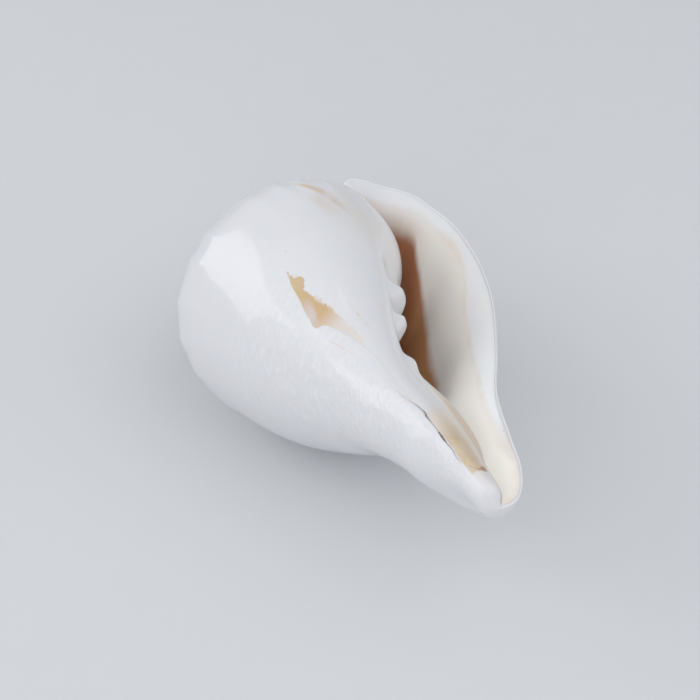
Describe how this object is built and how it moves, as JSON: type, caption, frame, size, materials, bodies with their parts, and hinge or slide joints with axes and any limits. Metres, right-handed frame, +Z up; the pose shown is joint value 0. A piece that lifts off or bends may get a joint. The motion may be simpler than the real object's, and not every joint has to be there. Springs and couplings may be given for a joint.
{
  "type": "conch shell",
  "caption": "Polished white chank shell, a heavy pear-shaped conch with a low spire, folds on its pillar, a wide mouth and a long open canal, lying on its back.",
  "frame": {"origin": "middle of the shell's bounding box, on the surface that it lies on", "axes": "+Z up, out of the mouth; +Y from the tip of the canal to the spire; +X towards the outer lip"},
  "size_m": [0.0906, 0.1216, 0.0703],
  "materials": {
    "shell": "polished"
  },
  "bodies": {
    "root": {"conch_shell": "shell"}
  },
  "joints": []
}
